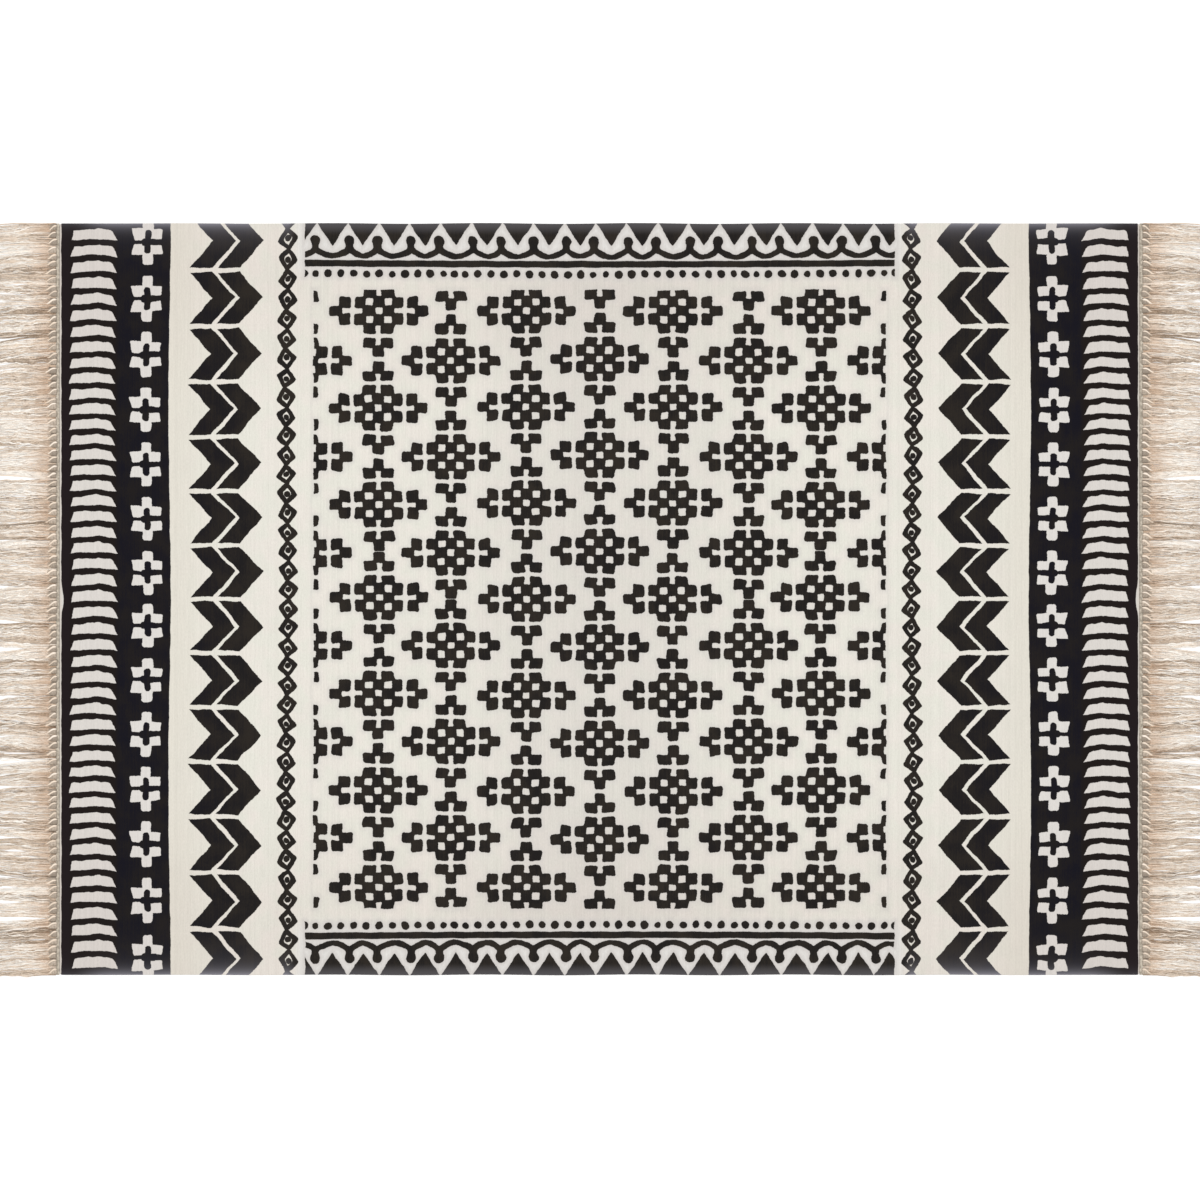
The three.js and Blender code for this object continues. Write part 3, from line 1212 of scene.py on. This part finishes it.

# %% [markdown]
# ## Cords
# Each cord is two plies wound round each other. On its short way from the tape they cross just once: the
# under ply is pressed flat and lies in the shade, and the upper one hooks over it as a crest, level at first
# and then slanting down. The under ply's dark tones are painted shade, and the crest's pale tones, palest on
# its top, a painted highlight. So a cord is one broad flat tube, with a thinner round one swept across it.
# Where the cord opens, both sink towards the floor and draw nearer to each other in tone.

# %% Wind the cords
CORDS = 100
PITCH = 2 * HALF_WIDTH / CORDS
CORD_STARTS = (3.8 * MM, 6.0 * MM)
CORD_LENGTH = 22.0 * MM
CORD_LENGTH_SHARES = (0.75, 1.1)
CORD_SHIFT = 1.3 * MM
# The shares of a cord's way between which it opens, and how far the plies have sunk by then.
OPENING = (0.45, 1.0)
SINKING = 0.7
PLY_SIDES = 8
PLY_STEPS = 13
# Tones: the under ply's low ones are painted shade, the crest's higher ones a painted highlight.
UNDER_PLY = {"half_width": 6.4 * MM, "half_height": 2.1 * MM, "level": 2.3 * MM, "tones": (0.02, 0.14)}
CREST = {"radius": 1.9 * MM, "level": 3.0 * MM, "rise": 1.1 * MM, "swing": 5.0 * MM, "tones": (0.22, 0.55)}
# How much paler each ply is where it opens, and on its top, a painted highlight.
UNDER_LIGHT = {"open": 0.06, "crown_highlight": 0.06}
CREST_LIGHT = {"open": -0.04, "crown_highlight": 0.18}
CREST_SIZE_SHARES = (0.75, 1.2)
# The crest's winding: its angles, the shares of the way between which it turns, and how much cords differ.
CREST_TURN = (0.2 * np.pi, 0.75 * np.pi)
CREST_WAY = (0.2, 0.95)
CREST_SPREAD = 0.25
# Sizes at a cord's ends: the share to begin with, and how fast it grows to the whole.
UNDER_ENDS = {"width": (0.8, 2), "height": (0.5, 4)}
CREST_ENDS = {"head": (0.25, 4), "foot": (0.3, 3)}
chance = np.random.default_rng(11)
cord_across = (np.arange(CORDS) + 0.5) * PITCH - HALF_WIDTH


def ease(value, low, high):
    """Goes smoothly from 0 at low to 1 at high."""
    share = np.clip((value - low) / (high - low), 0, 1)
    return share * share * (3 - 2 * share)


def grown(way, first, speed):
    """Grows from a first share to the whole."""
    return np.minimum(1, first + speed * way)


def cord_lines():
    """Middle lines, reaches and tones of the under ply and the crest of every cord."""
    way = np.linspace(0, 1, PLY_STEPS)
    opening = ease(way, *OPENING)
    standing = 1 - SINKING * opening
    middle = (cord_across + chance.normal(0, CORD_SHIFT, CORDS))[:, None]
    start = chance.uniform(*CORD_STARTS, CORDS)[:, None]
    out = start + CORD_LENGTH * chance.uniform(*CORD_LENGTH_SHARES, CORDS)[:, None] * way
    turn = np.interp(ease(way, *CREST_WAY), (0, 1), CREST_TURN)
    turn = turn + chance.normal(0, CREST_SPREAD, CORDS)[:, None]
    size = chance.uniform(*CREST_SIZE_SHARES, CORDS)[:, None]
    under = np.stack(np.broadcast_arrays(out, middle, UNDER_PLY["level"] * standing), axis=-1)
    crest_across = middle + CREST["swing"] * np.cos(turn)
    crest_up = (CREST["level"] + CREST["rise"] * np.sin(turn)) * (1 - SINKING * (1 - standing))
    crest = np.stack(np.broadcast_arrays(out, crest_across, crest_up), axis=-1)
    half_width = UNDER_PLY["half_width"] * grown(way, *UNDER_ENDS["width"])
    half_height = UNDER_PLY["half_height"] * standing * grown(way, *UNDER_ENDS["height"])
    broad = np.stack(np.broadcast_arrays(0, half_width, half_height), axis=-1)
    swell = grown(way, *CREST_ENDS["head"]) * grown(1 - way, *CREST_ENDS["foot"])
    thin = np.repeat((CREST["radius"] * size * swell)[:, :, None], 3, axis=2)
    # How much each corner of a ring faces up, for the painted highlight on top.
    crown_highlight = ring(PLY_SIDES)[:, 2]
    tones = []
    for ply, light in ((UNDER_PLY, UNDER_LIGHT), (CREST, CREST_LIGHT)):
        own = chance.uniform(*ply["tones"], (CORDS, 1, 1))
        tones.append(own + light["open"] * opening[:, None] + light["crown_highlight"] * crown_highlight)
    reaches = np.concatenate([np.tile(broad, (CORDS, 1, 1)), thin])
    return np.concatenate([under, crest]), reaches, np.concatenate(tones)


plies, ply_radii, ply_tones = cord_lines()
ply_heads = np.zeros(len(plies))
trim = {"left": [], "right": []}
SIDES = {"left": -1, "right": 1}
for end, side in SIDES.items():
    name = end + "_cords"
    trim[end].append(tube_piece(name, side, plies, ply_radii, ply_tones, ply_heads, PLY_SIDES, cord_yarn))

# %% [markdown]
# ## Loose strands
# Beyond its cord the yarn opens, in three layers. A close bed of strands covers the floor, from under the
# cords outwards. On it lie the locks, wisps of three strands that keep together, and over these the curls,
# finer wisps of five that wave more tightly. Neighbours wave together and share a tone, so that some shine
# out pale and others sink back, and a few wisps stray. Every few cords gather into a tuft that draws
# together towards its end, so narrow wedges of floor show between tufts. The photograph cuts the fringe
# off, so the ends are finished plainly, a little uneven.

# %% Gather tufts and locks
TUFTS = 40
TUFT_WIDTHS = (40 * MM, 120 * MM)
TUFT_PULL = {"most": 0.14, "power": 1.5}
TUFT_SHIFT = 2.5 * MM
TUFT_TONE = 0.03
LOCKS = 300
LOCK_WIDTHS = (5 * MM, 15 * MM)
LOCK_WAVES = (70 * MM, 140 * MM)
LOCK_SHIFT = 3 * MM
LOCK_TONE = 0.2
# Where along the yarn's map each lock's threads start: the further, the less they keep of the darker start,
# painted shade beside the cords.
LOCK_HEADS = (0.0, 0.34)
tuft_edges = np.cumsum(chance.uniform(*TUFT_WIDTHS, TUFTS)) - HALF_WIDTH
tuft_middles = tuft_edges - np.diff(tuft_edges, prepend=-HALF_WIDTH) / 2
tuft_pulls = TUFT_PULL["most"] * chance.uniform(0, 1, TUFTS) ** TUFT_PULL["power"]
tuft_shifts = chance.normal(0, TUFT_SHIFT, TUFTS)
tuft_tones = chance.normal(0, TUFT_TONE, TUFTS)
lock_edges = np.cumsum(chance.uniform(*LOCK_WIDTHS, LOCKS)) - HALF_WIDTH
lock_phases = chance.uniform(0, 2 * np.pi, LOCKS)
lock_lengths = chance.uniform(*LOCK_WAVES, LOCKS)
lock_shifts = chance.normal(0, LOCK_SHIFT, LOCKS)
lock_tones = chance.normal(0, LOCK_TONE, LOCKS)
lock_heads = chance.uniform(*LOCK_HEADS, LOCKS)
print(TUFTS, "tufts,", LOCKS, "locks")

# %% Choose the layers of strands
# wisps: to a cord. strands: to a wisp. spread: share of the cord's pitch that its wisps start in.
# tone: the layer's middle tone, lower for the lower layers, a painted shade; and the spread of tone by
# height, how much paler a strand is the higher it lies, painted light and shade.
LAYERS = [
    {"layer": "bed", "material": bed_yarn, "wisps": 16, "strands": 1, "steps": 10, "start": 7 * MM,
     "spread": 1.1, "scatter": 0.2 * MM, "radius": 0.95 * MM, "levels": (1.0 * MM, 2.0 * MM),
     "lock_wave": 1.0 * MM, "own_wave": 0.3 * MM, "wave_lengths": (60 * MM, 120 * MM), "wander": 0.8 * MM,
     "tone": 0.5, "painted_height_light": 0.12, "strays": 0.0},
    {"layer": "locks", "material": lock_yarn, "wisps": 4, "strands": 3, "steps": 16, "start": 17 * MM,
     "spread": 1.0, "scatter": 0.6 * MM, "radius": 0.58 * MM, "levels": (1.8 * MM, 3.8 * MM),
     "lock_wave": 1.4 * MM, "own_wave": 1.0 * MM, "wave_lengths": (40 * MM, 90 * MM), "wander": 2.0 * MM,
     "tone": 0.62, "painted_height_light": 0.32, "strays": 0.05},
    {"layer": "curls", "material": lock_yarn, "wisps": 3, "strands": 5, "steps": 22, "start": 19 * MM,
     "spread": 1.1, "scatter": 0.55 * MM, "radius": 0.48 * MM, "levels": (3.0 * MM, 5.3 * MM),
     "lock_wave": 1.4 * MM, "own_wave": 1.2 * MM, "wave_lengths": (16 * MM, 36 * MM), "wander": 3.5 * MM,
     "tone": 0.73, "painted_height_light": 0.5, "strays": 0.12},
]
print("layers", [row["layer"] for row in LAYERS])

# %% Comb the strands
STRAND_SIDES = 3
STRAND_LENGTH_SHARES = (0.88, 1.0)
STRAY_DRIFT = 16 * MM
# Drift grows by this power of the way out, and waves reach their height at a third of it.
DRIFT_POWER = 1.5
WAVE_GROWTH = (0.0, 3)
JITTER = 0.2 * MM
# Lesser waves go by the wisp's own wave: shares of its length and multiples of its phase.
PARTING = {"length": 1.7, "phase": 1}
HOP = {"height": 0.5 * MM, "length": 1.3, "phase": 2}
TONE_WAVE = {"height": 0.1, "length": 0.8, "phase": 3}
# How far strands settle towards the floor by their ends, and how much thinner they are there.
SETTLING = 0.35
THINNING = {"share": 0.5, "power": 4}
WISP_TONE = 0.08
HEAD_SPREAD = 0.1


def swing(out, lengths, phases):
    """A wave along each thread, from -1 to 1."""
    return np.sin(2 * np.pi * out / lengths[:, None] + phases[:, None])


def comb(row):
    """Middle lines, thickness, tones and heads of one layer of strands."""
    wisps = CORDS * row["wisps"]
    count = wisps * row["strands"]
    wisp = np.repeat(np.arange(wisps), row["strands"])
    cord = wisp // row["wisps"]

    # Where each strand starts, and how far it drifts sideways on its way out
    place = (wisp % row["wisps"] + chance.uniform(0, 1, wisps)[wisp]) / row["wisps"] - 0.5
    root = cord_across[cord] + place * row["spread"] * PITCH
    tuft = np.searchsorted(tuft_edges, cord_across[cord] + place * PITCH / 2)
    lock = np.searchsorted(lock_edges, root)
    drift = (tuft_middles[tuft] - root) * tuft_pulls[tuft] + tuft_shifts[tuft] + lock_shifts[lock]
    stray = (chance.uniform(0, 1, wisps) < row["strays"])[wisp]
    drift = drift + stray * (chance.uniform(-1, 1, wisps) * STRAY_DRIFT)[wisp]
    drift = drift + chance.normal(0, row["wander"], wisps)[wisp]

    # Its way out, and its waves: with its lock, with its wisp, and by itself
    way = np.linspace(0, 1, row["steps"])
    length = (FRINGE_REACH - row["start"]) * chance.uniform(*STRAND_LENGTH_SHARES, count)
    out = row["start"] + length[:, None] * way
    own_lengths = chance.uniform(*row["wave_lengths"], wisps)[wisp]
    own_phases = chance.uniform(0, 2 * np.pi, wisps)[wisp]

    def lesser_wave(wave):
        return swing(out, wave["length"] * own_lengths, wave["phase"] * own_phases)

    together = row["lock_wave"] * swing(out, lock_lengths[lock], lock_phases[lock])
    alone = row["own_wave"] * swing(out, own_lengths, own_phases)
    apart = chance.normal(0, row["scatter"], count)[:, None]
    apart = apart * (1 + lesser_wave(PARTING))
    sideways = (together + alone + apart) * grown(way, *WAVE_GROWTH)
    across = root[:, None] + drift[:, None] * way ** DRIFT_POWER + sideways

    # Its level, by its wisp's rank in the pile, with strays on top
    ranks = chance.permuted(np.tile(np.arange(row["wisps"]), (CORDS, 1)), axis=1).ravel()
    height = (ranks + chance.uniform(0, 1, wisps)) / row["wisps"]
    lift = np.where(stray, 1.0, height[wisp])
    level = np.interp(lift, (0, 1), row["levels"])
    hop = HOP["height"] * lesser_wave(HOP)
    jitter = chance.normal(0, JITTER, count)[:, None]
    up = np.maximum(row["radius"], (level[:, None] + hop + jitter) * (1 - SETTLING * way))
    taper = 1 - THINNING["share"] * way[:, None] ** THINNING["power"]
    radii = np.broadcast_to(row["radius"] * taper, (count, len(way), 3))

    # Its tone, paler the higher it lies: painted light on the upper strands and painted shade on the lower
    # ones
    tones = row["tone"] + row["painted_height_light"] * (2 * lift - 1) + chance.normal(0, WISP_TONE, wisps)[wisp]
    tones = tones + lock_tones[lock] + tuft_tones[tuft]
    tones = tones[:, None] + TONE_WAVE["height"] * lesser_wave(TONE_WAVE)
    corner_tones = np.repeat(tones[:, :, None], STRAND_SIDES, axis=2)
    heads = lock_heads[lock] + chance.uniform(-HEAD_SPREAD, HEAD_SPREAD, wisps)[wisp]
    return np.stack([out, across, up], axis=-1), radii, corner_tones, np.clip(heads, 0.0, 1.0)


for row in LAYERS:
    lines, radii, tones, heads = comb(row)
    for end, side in SIDES.items():
        name = end + "_" + row["layer"]
        trim[end].append(tube_piece(name, side, lines, radii, tones, heads, STRAND_SIDES, row["material"]))

# %% [markdown]
# ## Heading tape
# The tape holds the cords' heads and is sewn against the end of the cloth. It is a narrow woven strip: a
# grid two cells wide, thickened, with its edges rounded.

# %% Lay the tape
TAPE_WIDTH = 7.0 * MM
TAPE_THICKNESS = 2.2 * MM
TAPE_ROUNDING_STEPS = 2
SEAM = 0.3 * MM


def heading_tape(name, side):
    shape = flat_grid((2, CORDS), TAPE_WIDTH / 2, HALF_WIDTH)
    thicken(shape, TAPE_THICKNESS, TAPE_THICKNESS / 3, TAPE_ROUNDING_STEPS)
    middle = side * (HALF_LENGTH + SEAM + TAPE_WIDTH / 2)
    bmesh.ops.translate(shape, verts=shape.verts, vec=(middle, 0, 0))
    return link_piece(name, mesh_of(shape, name), tape_weave)


for end, side in SIDES.items():
    trim[end].append(heading_tape(end + "_tape", side))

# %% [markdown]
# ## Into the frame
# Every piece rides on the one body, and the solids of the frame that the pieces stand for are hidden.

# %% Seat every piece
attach(cloth, "root")
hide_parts("rug_cloth")
for end, pieces in trim.items():
    for piece in pieces:
        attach(piece, "root")
        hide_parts("fringe_" + end)
